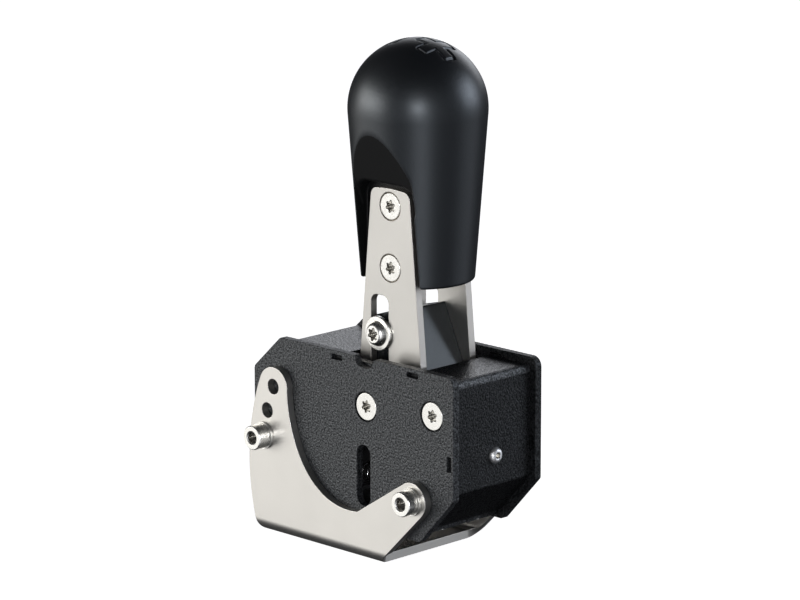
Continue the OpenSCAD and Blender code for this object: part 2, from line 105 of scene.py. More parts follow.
# ------------------------------------------------------------------ outlines
def fillet(a, p, b, r, n):
    if r <= 0:
        return [tuple(p)]
    a, p, b = (np.array(q, float) for q in (a, p, b))
    u, v = a - p, b - p
    u, v = u / np.linalg.norm(u), v / np.linalg.norm(v)
    th = math.acos(max(-1, min(1, float(u @ v))))
    if th > math.pi - 1e-4:
        return [tuple(p)]
    w = u + v
    c = p + w / np.linalg.norm(w) * (r / math.sin(th / 2))
    s, e = p + u * (r / math.tan(th / 2)) - c, p + v * (r / math.tan(th / 2)) - c
    a0 = math.atan2(s[1], s[0])
    d = math.atan2(e[1], e[0]) - a0
    d -= 2 * math.pi * round(d / (2 * math.pi))
    return [(c[0] + r * math.cos(a0 + d * i / n), c[1] + r * math.sin(a0 + d * i / n))
            for i in range(n + 1)]


def tidy(pts, eps=1e-4):
    out = []
    for p in pts:
        if not out or math.dist(p, out[-1]) > eps:
            out.append((float(p[0]), float(p[1])))
    while len(out) > 1 and math.dist(out[0], out[-1]) < eps:
        out.pop()
    return out


def rounded(q, n=6):
    out = []
    for i, p in enumerate(q):
        a, b = q[i - 1], q[(i + 1) % len(q)]
        out += fillet(a[:2], p[:2], b[:2], p[2] if len(p) > 2 else 0, n)
    return tidy(out)


def arc(c, r, a0, a1, n):
    return [(c[0] + r * math.cos(math.radians(a0 + (a1 - a0) * i / n)),
             c[1] + r * math.sin(math.radians(a0 + (a1 - a0) * i / n))) for i in range(n + 1)]


def bezier(p, n):
    out = []
    for i in range(n + 1):
        t = i / n
        s = 1 - t
        k = (s ** 3, 3 * s * s * t, 3 * s * t * t, t ** 3)
        out.append((sum(w * q[0] for w, q in zip(k, p)), sum(w * q[1] for w, q in zip(k, p))))
    return out


def area(loop):
    p = np.array(loop)
    q = np.roll(p, -1, 0)
    return float(np.sum(p[:, 0] * q[:, 1] - q[:, 0] * p[:, 1]) / 2)


def ccw(loop):
    return loop if area(loop) > 0 else loop[::-1]


def cw(loop):
    return loop if area(loop) < 0 else loop[::-1]


def circle(c, r, n=48):
    return arc(c, r, 0, 360 - 360 / n, n - 1)


def rect(x0, x1, y0, y1, r=0.3, n=4):
    return rounded([(x0, y0, r), (x1, y0, r), (x1, y1, r), (x0, y1, r)], n)


# ------------------------------------------------------------------ shapes
class Shape:
    """Vertices with their normals, and faces with their material's place, in millimetres."""

    def __init__(self, v=(), n=(), f=(), m=None):
        self.v = np.array(v, float).reshape(-1, 3)
        self.n = np.array(n, float).reshape(-1, 3)
        self.f = [tuple(q) for q in f]
        self.m = list(m) if m is not None else [0] * len(self.f)

    def __add__(self, o):
        k = len(self.v)
        return Shape(np.vstack([self.v, o.v]), np.vstack([self.n, o.n]),
                     self.f + [tuple(i + k for i in q) for q in o.f], self.m + o.m)

    def edges_as(self, k, axis=1, limit=0.8):
        """Faces that look away from the given axis take material k."""
        for i, q in enumerate(self.f):
            a, b, c = (self.v[j] for j in q[:3])
            n = np.cross(b - a, c - a)
            ln = np.linalg.norm(n)
            if ln > 1e-9 and abs(n[axis]) / ln < limit:
                self.m[i] = k
        return self

    def put(self, m):
        """Moved by a 4x4 matrix."""
        m = np.array(m, float)
        r = m[:3, :3]
        s = Shape(self.v @ r.T + m[:3, 3], self.n @ np.linalg.inv(r), self.f, self.m)
        s.n /= np.maximum(np.linalg.norm(s.n, axis=1, keepdims=True), 1e-9)
        if np.linalg.det(r) < 0:
            s.f = [q[::-1] for q in s.f]
        return s

    def mirror_y(self):
        return self.put(np.diag([1, -1, 1, 1]))

    def both(self):
        return self + self.mirror_y()


XZ = np.array([[1, 0, 0, 0], [0, 0, -1, 0], [0, 1, 0, 0], [0, 0, 0, 1.0]])   # x, y, w -> X, Z, -Y


def at(x, y, z, axis):
    """Matrix that stands a lathed shape at a point with its axis w along +-X, +-Y or +-Z."""
    w = Vector(axis)
    a = Vector((0, 0, 1)) if abs(w.z) < 0.5 else Vector((1, 0, 0))
    u = a.cross(w).normalized()
    v = w.cross(u)
    m = np.eye(4)
    m[:3, 0], m[:3, 1], m[:3, 2], m[:3, 3] = u, v, w, (x, y, z)
    return m


def edge_profile(w0, w1, b, k=2):
    """Rings (inset, height, outward part and upward part of the normal) of a rounded edge."""
    out = []
    for i in range(k + 1):
        t = math.pi / 2 * i / k
        out.append((b * (1 - math.sin(t)), w1 - b * (1 - math.cos(t)), math.sin(t), math.cos(t)))
    for i in range(k + 1):
        t = math.pi / 2 * (k - i) / k
        out.append((b * (1 - math.sin(t)), w0 + b * (1 - math.cos(t)), math.sin(t), -math.cos(t)))
    return out


def seat_profile(w0, w1, e, h):
    """The wall of a countersunk hole: straight for h, then a 90 degree cone of width e, then the bore."""
    q = math.sqrt(0.5)
    return [(e + 0.10, w1, 0, 1), (e + 0.03, w1 - 0.03, q, q), (e, w1 - 0.10, 1, 0),
            (e, w1 - h, 1, 0), (e - 0.01, w1 - h - 0.01, q, q),
            (0.02, w1 - h - e + 0.02, q, q), (0, w1 - h - e, 1, 0), (0, w0 + 0.03, 1, 0), (0.03, w0, 0, -1)]


def loop_frames(loop):
    p = np.array(loop, float)
    d1, d2 = p - np.roll(p, 1, 0), np.roll(p, -1, 0) - p
    l1, l2 = np.linalg.norm(d1, axis=1)[:, None], np.linalg.norm(d2, axis=1)[:, None]
    n1 = np.stack([d1[:, 1], -d1[:, 0]], 1) / l1
    n2 = np.stack([d2[:, 1], -d2[:, 0]], 1) / l2
    miter = (n1 + n2) / np.maximum(1 + np.sum(n1 * n2, 1), 0.3)[:, None]
    n = n1 * l1 + n2 * l2
    return p, miter, n / np.linalg.norm(n, axis=1, keepdims=True)


def plate(outer, holes, w0, w1, b=0.2, k=2):
    """A sheet with rounded edges. holes is a list of outlines, or (outline, profile)."""
    s = Shape()
    tops, bots, count = [], [], 0
    v, n, f = [], [], []
    base = edge_profile(w0, w1, b, k)
    for j, h in enumerate([outer] + list(holes)):
        pts, prof = h if isinstance(h, tuple) else (h, base)
        pts = ccw(pts) if j == 0 else cw(pts)
        p, miter, nr = loop_frames(pts)
        m = len(p)
        for i, (ins, w, no, nw) in enumerate(prof):
            q = p - miter * ins
            v += [(x, y, w) for x, y in q]
            n += [(a * no, c * no, nw) for a, c in nr]
            if i:
                lo, hi = count + i * m, count + (i - 1) * m
                f += [(hi + t, lo + t, lo + (t + 1) % m, hi + (t + 1) % m) for t in range(m)]
        tops.append([count + t for t in range(m)])
        bots.append([count + (len(prof) - 1) * m + t for t in range(m)])
        count += len(prof) * m
    for rings, sign in ((tops, 1), (bots, -1)):
        flat = [i for ring in rings for i in ring]
        tris = tessellate_polygon([[Vector((v[i][0], v[i][1], 0)) for i in ring] for ring in rings])
        for t in tris:
            t = tuple(flat[i] for i in t)
            a = area([v[i][:2] for i in t])
            if abs(a) > 1e-12:
                f.append(t if a * sign > 0 else t[::-1])
    return Shape(v, n, f)


def sliced(sh, axis, values):
    """Cut by planes, so that it can be folded."""
    bm = bmesh.new()
    lay = bm.verts.layers.float_vector.new("n")
    vs = [bm.verts.new(p) for p in sh.v]
    for a, b in zip(vs, sh.n):
        a[lay] = b
    for q in sh.f:
        bm.faces.new([vs[i] for i in q])
    for c in values:
        co, no = [0, 0, 0], [0, 0, 0]
        co[axis], no[axis] = c, 1
        bmesh.ops.bisect_plane(bm, geom=bm.verts[:] + bm.edges[:] + bm.faces[:], dist=1e-4,
                               plane_co=co, plane_no=no)
    bm.verts.index_update()
    out = Shape([v.co for v in bm.verts], [v[lay] for v in bm.verts],
                [[v.index for v in q.verts] for q in bm.faces])
    bm.free()
    return out


def lathe(profile, n=48):
    """Profile of (radius, height) points from the top of the axis round to its bottom."""
    p = np.array(profile, float)
    d = np.diff(p, axis=0)
    ln = np.linalg.norm(d, axis=1, keepdims=True)
    e = np.stack([-d[:, 1], d[:, 0]], 1) / np.maximum(ln, 1e-9)
    nr = np.zeros_like(p)
    nr[:-1] += e * ln
    nr[1:] += e * ln
    nr /= np.maximum(np.linalg.norm(nr, axis=1, keepdims=True), 1e-9)
    v, nn, f, rows = [], [], [], []
    for (r, h), (a, c) in zip(p, nr):
        if r < 1e-6:
            rows.append([len(v)])
            v.append((0, 0, h))
            nn.append((0, 0, math.copysign(1, c)))
            continue
        rows.append([len(v) + i for i in range(n)])
        for i in range(n):
            t = 2 * math.pi * i / n
            v.append((r * math.cos(t), r * math.sin(t), h))
            nn.append((a * math.cos(t), a * math.sin(t), c))
    for ra, rb in zip(rows, rows[1:]):
        for i in range(n):
            j = (i + 1) % n
            if len(ra) == 1 and len(rb) == 1:
                continue
            if len(ra) == 1:
                f.append((ra[0], rb[i], rb[j]))
            elif len(rb) == 1:
                f.append((ra[i], rb[0], ra[j]))
            else:
                f.append((ra[i], rb[i], rb[j], ra[j]))
    s = Shape(v, nn, f)
    return s


def turned(points, n=48, k=4):
    """Lathe from (radius, height, corner radius) points; the profile runs from top to bottom."""
    out = []
    for i, q in enumerate(points):
        if i in (0, len(points) - 1) or len(q) < 3 or q[2] <= 0:
            out.append(q[:2])
        else:
            out += fillet(points[i - 1][:2], q[:2], points[i + 1][:2], q[2], k)
    return lathe(out, n)


def recess(r_out, h, radius, depth, lead=None, n=72, e=0.10):
    """Flat top of a head out to r_out, with a recess whose outline is radius(angle). lead is the
    radius and depth of a conical mouth. The walls take material 1 and the floor material 2: darker copies of the
    head's steel, as painted shade in the recess."""
    ang = np.arange(n) * 2 * math.pi / n
    c, s_ = np.cos(ang), np.sin(ang)
    r = np.array([radius(t) for t in ang])
    d = (np.roll(r, -1) - np.roll(r, 1)) / (4 * math.pi / n)
    nx, ny = r * c + d * s_, r * s_ - d * c          # outward normal of the outline
    ln = np.hypot(nx, ny)
    nx, ny = nx / ln, ny / ln
    q = math.sqrt(0.5)
    rings = [(np.full(n, r_out), h, 0 * c, 0 * c, 1.0)]
    if lead:
        rl, dl = lead
        t = math.hypot(rl - r.mean(), dl)
        rings += [(np.full(n, rl + 0.05), h, 0 * c, 0 * c, 1.0),
                  (np.full(n, rl - 0.04), h - 0.04, -c * dl / t, -s_ * dl / t, (rl - r.mean()) / t),
                  (r + 0.03, h - dl, -c * dl / t, -s_ * dl / t, (rl - r.mean()) / t)]
        top = h - dl
    else:
        rings += [(r + e, h, 0 * c, 0 * c, 1.0), (r + e * 0.3, h - e * 0.3, -nx * q, -ny * q, q)]
        top = h - e
    rings += [(r, top, -nx, -ny, 0.0), (r, h - depth, -nx, -ny, 0.0),
              (r * 0.97, h - depth, 0 * c, 0 * c, 1.0), (r * 0.5, h - depth - 0.3, 0 * c, 0 * c, 1.0)]
    v, nn, f, m = [], [], [], []
    for i, (rr, z, a, b_, w) in enumerate(rings):
        v += [(rr[k] * c[k], rr[k] * s_[k], z) for k in range(n)]
        nn += [(a[k], b_[k], w) for k in range(n)]
        if i:
            o, t = (i - 1) * n, i * n
            f += [(o + k, o + (k + 1) % n, t + (k + 1) % n, t + k) for k in range(n)]
            m += [0 if z > h - 0.08 or (lead and i <= 3) else 2 if z < h - depth or i >= len(rings) - 2 else 1] * n
    o = len(v) - n
    v.append((0, 0, h - depth - 0.5))
    nn.append((0, 0, 1))
    f += [(o + k, o + (k + 1) % n, len(v) - 1) for k in range(n)]
    m += [2] * n
    return Shape(v, nn, f, m)


def star(r, lobe=0.15):
    """Six-lobe outline that is 2 r across its lobes."""
    def f(t):
        c = math.cos(6 * (t - 0.35))
        return r * (1 - lobe + lobe * math.copysign(abs(c) ** 0.75, c))
    return f


def hexagon(af, turn=12.0):
    def f(t):
        a = (t - math.radians(turn)) % (math.pi / 3) - math.pi / 6
        return min(af / 2 / math.cos(a), af / math.sqrt(3) - 0.03)
    return f


# ------------------------------------------------------------------ objects
def make(name, sh, material, body, replaces=(), weld=True):
    me = bpy.data.meshes.new(name)
    bm = bmesh.new()
    lay = bm.verts.layers.float_vector.new("n")
    vs = [bm.verts.new(p * MM) for p in sh.v]
    for a, b in zip(vs, sh.n):
        a[lay] = b
    for q, k in zip(sh.f, sh.m):
        if len(set(q)) > 2:
            try:
                bm.faces.new([vs[i] for i in q]).material_index = k
            except ValueError:
                pass
    if weld:
        bmesh.ops.remove_doubles(bm, verts=bm.verts, dist=2e-6)
    loose = [v for v in bm.verts if not v.link_faces]
    bmesh.ops.delete(bm, geom=loose, context="VERTS")
    normals = [tuple(v[lay]) for v in bm.verts]
    bm.verts.layers.float_vector.remove(lay)
    bm.to_mesh(me)
    bm.free()
    me.polygons.foreach_set("use_smooth", [True] * len(me.polygons))
    me.normals_split_custom_set_from_vertices(normals)
    o = bpy.data.objects.new(name, me)
    scene.collection.objects.link(o)
    for mt in material if isinstance(material, (list, tuple)) else [material]:
        me.materials.append(mt)
    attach(o, body)
    if replaces:
        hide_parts(*([replaces] if isinstance(replaces, str) else replaces))
    return o


def soften(node, material, width=0.2, segs=2, angle=28):
    """A copy of a CAD node with its flat faces merged and its edges broken."""
    src = frame["nodes"][node]
    bm = bmesh.new()
    bm.from_mesh(src.data)
    bmesh.ops.remove_doubles(bm, verts=bm.verts, dist=2e-6)
    bmesh.ops.dissolve_limit(bm, angle_limit=math.radians(0.4), verts=bm.verts, edges=bm.edges)
    me = bpy.data.meshes.new(node + "_soft")
    bm.to_mesh(me)
    bm.free()
    for name in ("custom_normal", "sharp_edge", "sharp_face"):
        if name in me.attributes:
            me.attributes.remove(me.attributes[name])
    me.materials.clear()
    me.materials.append(material)
    me.polygons.foreach_set("use_smooth", [True] * len(me.polygons))
    o = bpy.data.objects.new(node + "_edged", me)
    scene.collection.objects.link(o)
    b = o.modifiers.new("edges", "BEVEL")
    b.width, b.segments = width * MM, segs
    b.limit_method, b.angle_limit = "ANGLE", math.radians(angle)
    b.use_clamp_overlap = True
    b.miter_outer = "MITER_ARC"
    w = o.modifiers.new("normals", "WEIGHTED_NORMAL")
    w.mode, w.weight, w.keep_sharp = "FACE_AREA", 80, False
    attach(o, src["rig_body"])
    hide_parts(node)
    return o


# ------------------------------------------------------------------ materials
class Mat:
    """A small helper for node trees."""

    def __init__(self, name):
        self.m = bpy.data.materials.new(name)
        self.m.use_nodes = True
        self.t = self.m.node_tree
        self.t.nodes.clear()
        self.out = self.t.nodes.new("ShaderNodeOutputMaterial")
        self.b = self.t.nodes.new("ShaderNodeBsdfPrincipled")
        self.t.links.new(self.b.outputs[0], self.out.inputs[0])
        self.co = self.t.nodes.new("ShaderNodeTexCoord").outputs["Object"]

    def node(self, kind, **inputs):
        n = self.t.nodes.new(kind)
        for k, v in inputs.items():
            if k.startswith("_"):
                setattr(n, k[1:], v)
            else:
                self.feed(n.inputs[k.replace("__", " ")], v)
        return n

    def feed(self, socket_, v):
        if isinstance(v, bpy.types.NodeSocket):
            self.t.links.new(v, socket_)
        else:
            socket_.default_value = v

    def set(self, **k):
        for a, v in k.items():
            self.feed(self.b.inputs[a.replace("__", " ")], v)

    def scaled(self, x, y, z):
        m = self.t.nodes.new("ShaderNodeMapping")
        self.t.links.new(self.co, m.inputs["Vector"])
        m.inputs["Scale"].default_value = (x, y, z)
        return m.outputs[0]

    def noise(self, scale, detail=3.0, rough=0.55, vec=None, distort=0.0):
        n = self.node("ShaderNodeTexNoise", Scale=scale, Detail=detail, Roughness=rough,
                      Distortion=distort, Vector=vec if vec is not None else self.co)
        return n.outputs["Fac"]

    def cells(self, scale, vec=None, feature="F1", rand=1.0):
        n = self.node("ShaderNodeTexVoronoi", _feature=feature, Scale=scale, Randomness=rand,
                      Vector=vec if vec is not None else self.co)
        return n.outputs["Distance"]

    def ramp(self, fac, *stops):
        r = self.t.nodes.new("ShaderNodeValToRGB")
        self.t.links.new(fac, r.inputs[0])
        while len(r.color_ramp.elements) < len(stops):
            r.color_ramp.elements.new(0.5)
        for e, (p, c) in zip(r.color_ramp.elements, stops):
            e.position = p
            e.color = (c, c, c, 1) if isinstance(c, (int, float)) else (*c, 1)
        return r.outputs[0]

    def map(self, v, a, b, c, d):
        n = self.node("ShaderNodeMapRange", Value=v)
        for i, x in zip(("From Min", "From Max", "To Min", "To Max"), (a, b, c, d)):
            n.inputs[i].default_value = x
        return n.outputs[0]

    def math(self, op, a, b=0.0):
        n = self.t.nodes.new("ShaderNodeMath")
        n.operation = op
        self.feed(n.inputs[0], a)
        self.feed(n.inputs[1], b)
        return n.outputs[0]

    def bump(self, height, distance, strength=1.0, normal=None):
        n = self.node("ShaderNodeBump", Strength=strength, Distance=distance, Height=height)
        if normal is not None:
            self.feed(n.inputs["Normal"], normal)
        self.t.links.new(n.outputs[0], self.b.inputs["Normal"])
        return n.outputs[0]


def steel(name, tint=(0.61, 0.595, 0.565), rough=0.36, grain=1.0, brush=None):
    m = Mat(name)
    fine = m.noise(2600, 2.0, 0.6)
    big = m.noise(55, 3.0, 0.5)
    if brush is not None:
        fine2 = m.noise(1.0, 3.0, 0.6, vec=m.scaled(*brush))
        fine = m.math("ADD", m.math("MULTIPLY", fine, 0.5), m.math("MULTIPLY", fine2, 0.5))
    m.set(Metallic=1.0)
    t = tint
    m.set(Base__Color=m.ramp(big, (0.3, tuple(c * 0.965 for c in t)), (0.7, tuple(min(1, c * 1.02) for c in t))))
    m.set(Roughness=m.map(fine, 0.25, 0.75, rough - 0.035, rough + 0.045))
    m.bump(fine, 0.00002 * grain, 0.35)
    return m.m


def bright(name, tint=(0.82, 0.81, 0.79), rough=0.2):
    m = Mat(name)
    m.set(Metallic=1.0)
    sp = m.noise(900, 3.0, 0.6)
    m.set(Base__Color=m.ramp(sp, (0.3, tuple(c * 0.94 for c in tint)), (0.7, tint)))
    m.set(Roughness=m.map(sp, 0.3, 0.7, rough - 0.03, rough + 0.07))
    m.bump(sp, 0.00001, 0.3)
    return m.m


def powder(name, tone=0.02, rough=0.42, grain=1.0, tint=(0.93, 0.98, 1.06), spec=0.5):
    """Textured powder coat: rounded grains half a millimetre across, with the pits between them painted darker and
    less shiny as painted shade.
    """
    m = Mat(name)
    a = m.noise(1500, 2.0, 0.5)
    c = m.cells(1700, feature="SMOOTH_F1")
    h = m.math("SUBTRACT", m.math("MULTIPLY", a, 1.3), m.math("MULTIPLY", c, 0.5))
    # painted shade: colour, roughness and specular level follow the same noise that raises the grains, so the pits
    # are painted dark
    lo = tuple(tone * 0.3 * q for q in tint)
    hi = tuple(tone * 2.1 * q for q in tint)
    m.set(Base__Color=m.ramp(a, (0.36, lo), (0.64, hi)))
    m.set(Roughness=m.map(a, 0.3, 0.7, rough + 0.08, rough - 0.06))
    m.set(Specular__IOR__Level=m.map(a, 0.36, 0.64, spec * 0.4, spec * 1.5), Specular__Tint=(0.92, 0.96, 1.0, 1))
    m.bump(h, 0.00022 * grain, 1.0)
    return m.m


def plastic(name, tone=(0.0052, 0.0058, 0.0072), rough=0.4, grain=1.0, scale=1500, spec=0.5, tint=(1, 1, 1)):
    m = Mat(name)
    a = m.noise(scale, 2.0, 0.6)
    c = m.noise(60, 3.0, 0.5)
    m.set(Base__Color=m.ramp(c, (0.3, tuple(0.92 * t for t in tone)), (0.7, tuple(1.1 * t for t in tone))))
    m.set(Roughness=m.map(a, 0.3, 0.7, rough - 0.03, rough + 0.05))
    m.set(Specular__IOR__Level=spec, Specular__Tint=(*tint, 1))
    m.bump(a, 0.00004 * grain, 0.45)
    return m.m


def board_green(name):
    m = Mat(name)
    lines = m.node("ShaderNodeTexBrick", Scale=420.0, Vector=m.co)
    lines.inputs["Mortar Size"].default_value = 0.03
    m.set(Base__Color=m.ramp(lines.outputs["Fac"], (0.0, (0.01, 0.07, 0.03)), (1.0, (0.02, 0.13, 0.06))))
    m.set(Roughness=m.map(m.noise(300), 0.3, 0.7, 0.3, 0.42))
    m.bump(lines.outputs["Fac"], 0.00003, 0.3)
    return m.m


M_ARM = steel("arm_steel", tint=(0.452, 0.441, 0.419), rough=0.37, grain=0.35, brush=(350, 350, 4200))
M_BRACKET = steel("bracket_steel", tint=(0.565, 0.55, 0.52), rough=0.36, grain=0.6)
# a darker copy of the bracket steel for the flange's inner face, as painted shade
M_INSIDE_SHADE = steel("inside_shade_steel", tint=(0.34, 0.335, 0.325), rough=0.2, grain=0.4)
M_EDGE = steel("cut_steel", tint=(0.60, 0.57, 0.53), rough=0.42, grain=2.0)
M_SCREW = bright("screw_steel", tint=(0.72, 0.71, 0.68), rough=0.25)
M_CAP = bright("cap_steel", tint=(0.79, 0.78, 0.745), rough=0.26)
M_ZINC = bright("zinc", tint=(0.85, 0.85, 0.85), rough=0.42)
# darker copies of the head steel for the walls and floors of recesses, as painted shade
M_RECESS_SHADE = bright("recess_shade_steel", tint=(0.30, 0.29, 0.27), rough=0.24)
M_SOCKET_FLOOR_SHADE = bright("socket_floor_shade", tint=(0.60, 0.585, 0.54), rough=0.24)
M_NUT = bright("nut_steel", tint=(0.66, 0.66, 0.65), rough=0.3)
M_WASHER = bright("washer_steel", tint=(0.66, 0.65, 0.62), rough=0.32)
# very dark coat for the cover tabs; on the right cover's downward slope it is painted shade
M_TAB_AND_SHADE = powder("tab_and_shade_black", tone=0.004, rough=0.5, spec=0.12)
M_PLATE = powder("plate_black", tone=0.0168, spec=0.48)
M_TOP = powder("top_black", tone=0.009, rough=0.27, spec=0.36, grain=0.8)
# a darker, less shiny copy of the powder coat, as painted shade on the covers and on the rear side plate
M_COVER_SHADE = powder("cover_black", tone=0.007, rough=0.45, spec=0.27, tint=(0.94, 0.99, 1.06))
# a lighter, shinier copy of the cover coat for the rolled top edge, as a painted highlight
M_ROLL_HIGHLIGHT = powder("roll_highlight_black", tone=0.018, rough=0.42, spec=0.75, tint=(0.94, 0.99, 1.06))
M_CORE = plastic("core_black", tone=(0.007, 0.0077, 0.0092), rough=0.21, grain=0.4, spec=0.26, tint=(0.90, 0.97, 1.0))
M_KNOB = plastic("knob_black", rough=0.36, grain=1.5, spec=0.7, tint=(0.87, 0.94, 1.0))
# a darker, duller copy of the knob plastic for its pockets and scoops, as painted shade
M_POCKET_SHADE = plastic("pocket_shade_black", tone=(0.003, 0.0032, 0.0036), rough=0.5, spec=0.22)
M_INNER = plastic("inner_black", tone=(0.02, 0.02, 0.022), rough=0.5)
M_SHAFT = bright("shaft_steel", tint=(0.72, 0.72, 0.72), rough=0.22)
M_SPRING = bright("spring_wire", tint=(0.93, 0.93, 0.93), rough=0.17)
M_RUBBER = plastic("rubber_black", tone=(0.02, 0.02, 0.02), rough=0.65, scale=1500)
M_BRASS = bright("brass", tint=(0.72, 0.55, 0.27), rough=0.25)
M_BRONZE = bright("bronze", tint=(0.55, 0.38, 0.2), rough=0.35)
M_BOARD = board_green("board_green")
M_CHIP = plastic("chip_black", tone=(0.02, 0.02, 0.02), rough=0.4, scale=3000)
M_MAGNET = bright("magnet_nickel", tint=(0.8, 0.78, 0.74), rough=0.12)

# ------------------------------------------------------------------ mounting bracket
# It is cut flat and folded: u is the developed length across the flange and up the wings.
A0, RO, LA = 20.04, 5.0, 7.0


def dev(z):
    """Developed length to height z on the outside of the bend and wing."""
    if z >= RO:
        return A0 + LA + z - RO
    return A0 + LA * math.acos((RO - z) / RO) / (math.pi / 2)


def bracket():
    h1 = on_arc(2)
    side = [(30.6 + (52.035 - 30.6) * t, 21.41 * t) for t in
            (0, 0.004, 0.012, 0.025, 0.045, 0.07, 0.1, 0.14, 0.18, 0.23, 0.3, 0.6)]
    chain = side + arc(TILT, 6.7, -45.0, 123.2, 26)
    chain += bezier([(20.8, 17.15), (-4.7, 14.2), (-14.2, 39.5), (-14.2, 54.5)], 60)
    chain += arc(h1, 7.1, 0, 157.8, 26)
    chain += [p for p in arc(TILT, HOLE_R + 7.1, 158.6, 198.4, 70) if p[1] > 1.6]
    chain += fillet((-29.9, 1.9), (-29.35, 0.35), (-28.0, 0.0), 0.7, 5)[:-1]
    chain = tidy([(x, max(z, 0.0)) for x, z in chain])
    up_ = [(x, dev(z)) for x, z in chain]
    loop = tidy(up_ + [(x, -u) for x, u in reversed(up_)], 0.02)
    holes = []
    for s in (1, -1):
        for k in range(3):
            c = on_arc(k)
            holes.append(circle((c[0], s * dev(c[1])), 2.75, 40))
        holes.append(circle((TILT[0], s * dev(TILT[1])), 2.58, 40))
        for x in (-20, 20):
            holes.append(circle((x, s * 12), 3.3, 40))
    sh = plate(loop, holes, 0, 3, 0.18, 2)
    cuts = [s * (A0 + LA * i / 10) for s in (1, -1) for i in range(11)]
    sh = sliced(sh, 1, cuts)
    v, n = sh.v.copy(), sh.n.copy()
    u, w = np.abs(sh.v[:, 1]), sh.v[:, 2]
    s = np.sign(sh.v[:, 1])
    phi = np.clip((u - A0) / LA, 0, 1) * math.pi / 2
    rr = RO - w
    over = np.maximum(u - A0 - LA, 0)
    y = np.minimum(u, A0) + rr * np.sin(phi)
    z = RO - rr * np.cos(phi) + over
    v[:, 1], v[:, 2] = s * y, z
    nu, nw = sh.n[:, 1] * np.where(s == 0, 1, s), sh.n[:, 2]
    n[:, 1] = (nu * np.cos(phi) - nw * np.sin(phi)) * np.where(s == 0, 1, s)
    n[:, 2] = nu * np.sin(phi) + nw * np.cos(phi)
    s = Shape(v, n, sh.f)
    # the flange's upward face inside the fold takes the darker steel as painted shade
    for i, q in enumerate(s.f):
        if s.n[list(q)].mean(axis=0)[2] > 0.95 and s.v[list(q), 2].max() < 3.05:
            s.m[i] = 1
    return s


make("bracket", bracket(), [M_BRACKET, M_INSIDE_SHADE], "base", "mounting_bracket")

# ------------------------------------------------------------------ side plates
PLATE_OUT = rounded([
    (-34.2, 59.5, 2), (-20.7, 72.05, 2.5),
    (17.0, 72.05, 0.9), (17.7, 68.5, 2.4), (25.1, 68.5, 2.4), (25.9, 72.05, 1.6),
    (64.4, 72.05, 3.6), (64.4, 28.6, 1.6), (48.4, 11.1, 1.8),
    (-30, 11.1, 2), (-34.2, 15.3, 2)], 8)


def side_plate():
    a0, a1 = HOLE_A[0] - 0.2, HOLE_A[0] + 15.1
    e0, e1 = ((TILT[0] + HOLE_R * math.cos(math.radians(a)), TILT[1] + HOLE_R * math.sin(math.radians(a)))
              for a in (a0, a1))
    arc_slot = tidy(arc(TILT, HOLE_R + 2.75, a0, a1, 24) + arc(e1, 2.75, a1, a1 + 180, 12)
                    + arc(TILT, HOLE_R - 2.75, a1, a0, 24) + arc(e0, 2.75, a0 + 180, a0 + 360, 12), 0.01)
    holes = [rect(5.3, 10.5, 68.9, 70.6), rect(42.3, 47.5, 68.9, 70.6), rect(61.4, 63.2, 38.9, 44.1),
             rect(-33.5, -31.7, 24, 29.2), rect(-10, -4.8, 12.3, 14.2),
             rect(21 - 3.25, 21 + 3.25, 18.8, 40.6, 3.2499, 12), arc_slot, circle(TILT, 3.52, 40)]
    for c in (PIV, POST):
        holes.append((circle(c, 2.75, 72), seat_profile(PL_I, PL_O, 2.65, 0.85)))
    return plate(PLATE_OUT, holes, PL_I, PL_O, 0.28, 3).put(XZ)


make("side_plate_front", side_plate(), M_PLATE, "housing", "front_side_plate")
# the rear plate, twin of the front one, takes the darker cover coat as painted shade
make("side_plate_rear", side_plate().mirror_y(), M_COVER_SHADE, "housing", "rear_side_plate")

# ------------------------------------------------------------------ covers
CW = 18.97


def block(lo, hi, b=0.15):
    """A tab or chip: its corners and edges are all broken."""
    s = plate(rect(lo[0], hi[0], lo[2], hi[2], b * 1.5, 3), [], -hi[1], -lo[1], b, 2)
    return s.put(XZ)


def tabs(x0, x1, z0, z1):
    s = block((x0, -20.7, z0), (x1, -18.4, z1)).both()
    s.m = [1] * len(s.f)
    return s


def top_cover():
    xt = -22.45 + 2 * math.tan(math.radians(21.45))
    la, ang, rest = 1.6, math.radians(42.9), 13.6
    outer = rect(xt - la - rest, 60.1, -CW, CW, 0.3)
    hole = rect(4.5, 42.2, -15.6, 15.6, 0.9)
    sh = plate(outer, [hole], 0, 1.5, 0.22, 3)
    sh = sliced(sh, 0, [xt - la * i / 8 for i in range(9)])
    x, w = sh.v[:, 0], sh.v[:, 2]
    phi = np.clip((xt - x) / la, 0, 1) * ang
    over = np.maximum(xt - la - x, 0)
    v, n = sh.v.copy(), sh.n.copy()
    v[:, 0] = np.maximum(x, xt) - (0.5 + w) * np.sin(phi) - over * np.cos(phi)
    v[:, 2] = 67.4 + (0.5 + w) * np.cos(phi) - over * np.sin(phi)
    n[:, 0] = sh.n[:, 0] * np.cos(phi) - sh.n[:, 2] * np.sin(phi)
    n[:, 2] = sh.n[:, 0] * np.sin(phi) + sh.n[:, 2] * np.cos(phi)
    s = Shape(v, n, sh.f)
    for x0 in (5.55, 42.55):
        s = s + tabs(x0, x0 + 4.7, 69.0, 70.4)
    return s


